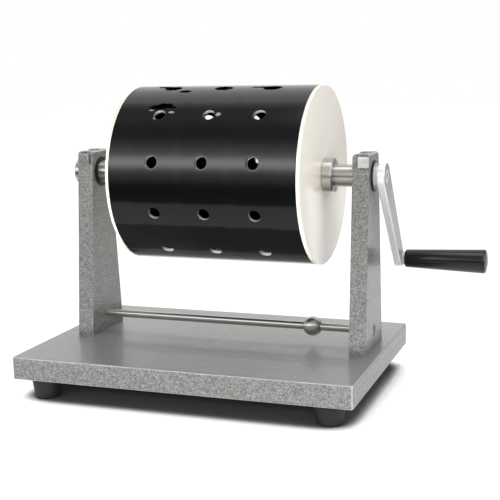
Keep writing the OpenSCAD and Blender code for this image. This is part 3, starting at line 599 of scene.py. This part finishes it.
def rubberFoot(s, corner):
    middle = centreOf(corner + "_foot")
    section = rounded([(0, s["recess"], s["crisp"]), (0, s["low"], s["soft"]),
                       (s["height"], s["top"], s["crisp"]), (s["height"], s["hole"], s["holeRound"]),
                       (s["recessDepth"], s["hole"], s["holeRound"]),
                       (s["recessDepth"], s["recess"], s["crisp"])])
    name = corner.replace("_l", "L").replace("_r", "R") + "Foot"
    foot = lathe(name, section, "z", "black_rubber", (middle.x, middle.y, 0), s["around"])
    dress(foot, "stand", [corner + "_foot"])


for corner in ("front_left", "front_right", "back_left", "back_right"):
    rubberFoot(footSet, corner)

# Keeper bolts: square heads with soft corners and a slightly crowned face
boltSet = {"across": 9 * mm, "height": 4 * mm, "soft": 0.8 * mm, "corner": 0.9 * mm, "crown": 0.2 * mm,
           "shank": 2.5 * mm, "edgeSteps": 6, "crownShares": (0.8, 0.55, 0.3, 0)}


def keeperBolt(s, name, node, look):
    # sections along the bolt: the shank's circles, then rounded squares that shrink over the head's soft edge
    # and rise as a crown; each side of a square has three more points at its quarters, which keep it straight
    low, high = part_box(node)
    middle = (low + high) / 2
    half = s["across"] / 2
    corners = [(half * x, half * z, s["corner"]) for x, z in ((1, 1), (-1, 1), (-1, -1), (1, -1))]
    square = rounded(corners, steps=8)
    ahead = np.roll(square, -1, 0) - square
    sides = np.stack([square + ahead * part for part in (0, 0.25, 0.5, 0.75)], 1).reshape(-1, 2)
    turn, reach = np.arctan2(sides[:, 1], sides[:, 0]), np.linalg.norm(sides, axis=1)
    depth = [high.y - low.y, high.y - low.y, s["height"], s["height"]]
    sizes = [0 * reach, 0 * reach + s["shank"], 0 * reach + s["shank"], reach]
    for a in np.linspace(0, math.pi / 2, s["edgeSteps"]):
        depth.append(s["soft"] * (1 - math.sin(a)) + s["crown"])
        sizes.append(reach * (1 - s["soft"] * (1 - math.cos(a)) / half))
    for share in s["crownShares"]:
        depth.append(s["crown"] * share ** 2)
        sizes.append(reach * (1 - s["soft"] / half) * share)
    rows = [np.stack([middle.x + r * np.cos(turn), low.y + d + 0 * turn, middle.z + r * np.sin(turn)], -1)
            for d, r in zip(depth, sizes)]
    grid = np.array(rows)
    quads = gridQuads(*grid.shape[:2], wrapColumns=True)
    bolt = meshFrom(name, grid.reshape(-1, 3), quads, look, sharpDegrees=50)
    dress(bolt, "stand", [node])


keeperBolt(boltSet, "leftKeeperBolt", "left_keeper_bolt", "hammertone_paint")
keeperBolt(boltSet, "rightKeeperBolt", "right_keeper_bolt", "zinc_steel")

# Uprights and crank arm: their solids with the outer edges rounded over. The edges stay sharp at an upright's
# foot and within the clear distances of the bolt, the shaft, the rod, the oil screw and the arm's two holes
edgeSet = {"upright": 0.9 * mm, "arm": 0.8 * mm, "segments": 3, "flatWeight": 100, "sharp": math.radians(30),
           "crease": math.radians(1.5), "mergeAngle": math.radians(0.4), "flatArea": 25 * mm * mm,
           "boltClear": 7 * mm, "shaftClear": 12.5 * mm, "rodClear": 7 * mm, "oilClear": 4 * mm,
           "oilDepth": 6 * mm, "footClear": 0.5 * mm, "hubClear": 8 * mm, "spindleClear": 5.5 * mm}


def bendOf(edge):  # the angle between an edge's two faces, or 0 where it has only one
    return edge.calc_face_angle() if len(edge.link_faces) == 2 else 0


def softened(s, name, node, width, isOuter, look, body):
    # a merged copy of the solid's mesh, whose outer edges are given weight for a bevel
    mesh = nodes[node].data.copy()
    mesh.name = name
    work = bmesh.new()
    work.from_mesh(mesh)
    bmesh.ops.remove_doubles(work, verts=work.verts, dist=mergeReach)
    bmesh.ops.dissolve_limit(work, angle_limit=s["mergeAngle"], verts=work.verts, edges=work.edges)
    weight = work.edges.layers.float.new("bevel_weight_edge")
    for edge in work.edges:
        if bendOf(edge) > s["sharp"]:
            edge[weight] = float(isOuter((edge.verts[0].co + edge.verts[1].co) / 2))
    work.to_mesh(mesh)
    mesh.shade_smooth()
    mesh.set_sharp_from_angle(angle=s["sharp"])
    work.clear()
    work.from_mesh(mesh)
    # wide faces keep a crease between them even where they meet at a small angle
    for edge in work.edges:
        if bendOf(edge) > s["crease"] and min(face.calc_area() for face in edge.link_faces) > s["flatArea"]:
            edge.smooth = False
    work.to_mesh(mesh)
    work.free()
    mesh.materials.clear()
    mesh.materials.append(looks[look])
    piece = bpy.data.objects.new(name, mesh)
    scene.collection.objects.link(piece)
    bevel = piece.modifiers.new("edges", "BEVEL")
    bevel.limit_method = "WEIGHT"
    bevel.width = width
    bevel.segments = s["segments"]
    even = piece.modifiers.new("evenFlats", "WEIGHTED_NORMAL")
    even.weight = s["flatWeight"]
    even.keep_sharp = True
    dress(piece, body, [node])


def outerOfUpright(s, node, boltNode):
    low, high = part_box(node)
    bolt = centreOf(boltNode)
    middleX = (low.x + high.x) / 2

    def test(p):
        onBolt = math.hypot(p.x - bolt.x, p.z - bolt.z) <= s["boltClear"] and p.y <= axisY
        onShaft = math.hypot(p.y - axisY, p.z - axisZ) < s["shaftClear"]
        onRod = math.hypot(p.y - rodY, p.z - rodZ) < s["rodClear"]
        onOil = p.z > high.z - s["oilDepth"] and math.hypot(p.x - middleX, p.y - axisY) < s["oilClear"]
        return not (onBolt or onShaft or onRod or onOil) and p.z > low.z + s["footClear"]
    return test


def outerOfArm(p):
    onHub = math.hypot(p.y - axisY, p.z - axisZ) <= edgeSet["hubClear"]
    onSpindle = math.hypot(p.y - handleY, p.z - handleZ) <= edgeSet["spindleClear"]
    return not (onHub or onSpindle)


for side in ("left", "right"):
    softened(edgeSet, side + "Upright", side + "_upright", edgeSet["upright"],
             outerOfUpright(edgeSet, side + "_upright", side + "_keeper_bolt"), "hammertone_paint", "stand")
softened(edgeSet, "crankArm", "crank_arm", edgeSet["arm"], outerOfArm, "crank_aluminium", "drum")
print("pieces made")

# Floor and world. The shadow's values are shares of open sky over a point of the floor: the background's
# white begins at "shadowFrom" and is full at "shadowTo"
roomSet = {"floorX": (-3, 3), "floorY": (-1.2, 6), "floorColour": "#BCBCBC", "seenColour": "#606060",
           "ambient": 0.4, "shadowReach": 0.35, "shadowFrom": 0.34, "shadowTo": 0.565, "shadowCurve": 1.3}


def seenRays(tree):  # 1 for the rays that show the background: camera, mirror and glass rays
    path = put(tree, "LightPath")
    seen = put(tree, "Math", {0: path.outputs["Is Camera Ray"], 1: path.outputs["Is Transmission Ray"]},
               operation="MAXIMUM")
    seen = put(tree, "Math", {0: seen.outputs[0], 1: path.outputs["Is Glossy Ray"]}, operation="MAXIMUM")
    return seen.outputs[0]


def makeRoom(s):
    (x0, x1), (y0, y1) = s["floorX"], s["floorY"]
    mesh = bpy.data.meshes.new("tableTop")
    mesh.from_pydata([(x0, y0, 0), (x1, y0, 0), (x1, y1, 0), (x0, y1, 0)], [], [(0, 1, 2, 3)])
    floor = bpy.data.objects.new("tableTop", mesh)
    scene.collection.objects.link(floor)
    # White paper sweep: matt. The background's white is added only where the floor is open to the sky, so
    # that the shadow stays
    mat, tree, shader, place = newMaterial("whitePaperSweep")
    seen = seenRays(tree)
    openSky = put(tree, "AmbientOcclusion", {"Distance": s["shadowReach"]}, samples=16)
    lit = put(tree, "MapRange", {"Value": openSky.outputs["AO"], "From Min": s["shadowFrom"],
                                 "From Max": s["shadowTo"]})
    lit = put(tree, "Math", {0: lit.outputs[0], 1: s["shadowCurve"]}, operation="POWER")
    glow = put(tree, "Math", {0: lit.outputs[0], 1: seen}, operation="MULTIPLY")
    tone = put(tree, "Mix", {0: seen, 6: lin(s["floorColour"]), 7: lin(s["seenColour"])}, data_type="RGBA")
    feed(tree, shader, Base_Color=tone.outputs[2], Roughness=0.9, Specular_IOR_Level=0.0,
         Emission_Color=(1, 1, 1, 1), Emission_Strength=glow.outputs[0])
    mesh.materials.append(mat)
    world = bpy.data.worlds.new("studio")
    world.use_nodes = True
    scene.world = world
    tree = world.node_tree
    tree.nodes.clear()
    dim = put(tree, "Background", {"Color": (1, 1, 1, 1), "Strength": s["ambient"]})
    white = put(tree, "Background", {"Color": (1, 1, 1, 1), "Strength": 1.0})
    both = put(tree, "MixShader", {0: seenRays(tree), 1: dim.outputs[0], 2: white.outputs[0]})
    put(tree, "OutputWorld", {"Surface": both.outputs[0]})


# Lamps: where each stands, what it faces, its width and height, its watts, and whether it shows in mirrors
lampSet = {
    "topBox": {"place": (-0.1, 1.0, 1.5), "aim": (0, 0.1, 0), "size": (1.6, 1.4), "watts": 33,
               "mirrored": False},
    "frontBox": {"place": (-0.2, -1.5, 0.6), "aim": (-0.1, 0, 0.16), "size": (2.6, 0.3), "watts": 14,
                 "mirrored": False},
    "lowBox": {"place": (-0.1, -0.45, 0.014), "aim": (-0.1, -0.09, 0.03), "size": (0.7, 0.02), "watts": 1.9,
               "mirrored": False},
    "rightBox": {"place": (1.3, -0.35, 0.7), "aim": (0.05, 0, 0.15), "size": (1.0, 1.0), "watts": 7.6,
                 "mirrored": True},
    "armBox": {"place": (0.25, -0.35, 0.03), "aim": (0.11, 0.03, 0.14), "size": (0.12, 0.05), "watts": 0.3,
               "mirrored": False},
}


def softbox(name, s):
    data = bpy.data.lights.new(name, "AREA")
    data.shape = "RECTANGLE"
    data.size, data.size_y = s["size"]
    data.energy = s["watts"]
    lamp = bpy.data.objects.new(name, data)
    lamp.location = s["place"]
    lamp.rotation_euler = (Vector(s["aim"]) - Vector(s["place"])).to_track_quat("-Z", "Y").to_euler()
    lamp.visible_camera = False
    lamp.visible_glossy = s["mirrored"]
    scene.collection.objects.link(lamp)


# Studio cards, which only mirror-like surfaces show. The drum's cards and those of the steel parts meet where
# the mirror lines leave the drum's right end: at "splitX" on the drum's front, and further left by "slope"
# with distance
cardSet = {"splitX": 0.062, "slope": 0.27, "frontY": -0.06, "frontZ": 0.185, "skyReach": 1.4,
           "floorHeight": 0.004}


def studioCard(name, x0, x1, rows):
    # rows of (y, z, glow) along the card, blended between; where x0 or x1 is None, the row ends at the split
    mesh = bpy.data.meshes.new(name)
    corners = []
    for y, z, glow in rows:
        distance = math.hypot(y - cardSet["frontY"], z - cardSet["frontZ"])
        split = cardSet["splitX"] - cardSet["slope"] * distance
        corners += [(split if x0 is None else x0, y, z), (split if x1 is None else x1, y, z)]
    mesh.from_pydata(corners, [], [(2 * i, 2 * i + 1, 2 * i + 3, 2 * i + 2) for i in range(len(rows) - 1)])
    shine = mesh.attributes.new("glow", "FLOAT", "POINT")
    shine.data.foreach_set("value", np.repeat([row[2] for row in rows], 2))
    card = bpy.data.objects.new(name, mesh)
    scene.collection.objects.link(card)
    mat = bpy.data.materials.new(name)
    mat.use_nodes = True
    tree = mat.node_tree
    tree.nodes.clear()
    level = put(tree, "Attribute", attribute_name="glow").outputs["Fac"]
    light = put(tree, "Emission", {"Color": (1, 1, 1, 1), "Strength": level})
    put(tree, "OutputMaterial", {"Surface": light.outputs[0]})
    mesh.materials.append(mat)
    card.visible_camera = card.visible_diffuse = card.visible_transmission = card.visible_shadow = False


def skyRows(*rows):  # rows of (height in degrees above the drum's front, glow)
    reach = cardSet["skyReach"]
    return [(cardSet["frontY"] - reach * math.cos(math.radians(height)),
             cardSet["frontZ"] + reach * math.sin(math.radians(height)), glow) for height, glow in rows]


def floorRows(*rows):  # rows of (y, glow) just over the floor
    return [(y, cardSet["floorHeight"], glow) for y, glow in rows]


makeRoom(roomSet)
studioCard("drumFloor", x0=-1.2, x1=None, rows=floorRows(
    (-0.108, 0.65), (-0.16, 0.66), (-0.2, 0.62), (-0.28, 0.6), (-0.3, 0.45), (-0.31, 0.04), (-0.5, 0.0),
    (-0.65, 0.0), (-0.96, 0.05), (-1.6, 0.16)))
studioCard("drumSky", x0=-1.3, x1=None, rows=skyRows(
    (-7, 0.2), (-2, 0.42), (4, 0.65), (9.5, 1.4), (15, 3.6), (20, 4.5), (25, 3.1), (30, 1.6), (36, 1.0),
    (43, 0.6), (50, 0.3), (57, 0.2), (66, 0.2), (78, 0.32), (87, 0.34), (97, 0.28), (104, 0.5), (110, 0.8)))
studioCard("steelFloor", x0=None, x1=1.5, rows=floorRows(
    (-0.11, 0.02), (-0.15, 0.8), (-0.35, 1.0), (-0.55, 0.9), (-0.8, 0.2), (-1.0, 0.0), (-1.6, 0.0)))
studioCard("steelSky", x0=None, x1=2.0, rows=skyRows(
    (-8, 0.0), (-3, 0.0), (3, 0.1), (9, 0.7), (24, 0.8), (40, 0.5), (60, 0.5), (72, 1.0), (82, 2.8),
    (97, 2.8), (104, 0.9), (120, 0.3)))
for name, lamp in lampSet.items():
    softbox(name, lamp)
studioCard("backCard", x0=0.0, x1=1.8, rows=[(1.6, 0.0, 0.45), (1.6, 1.2, 0.45)])
print("room and lamps made")
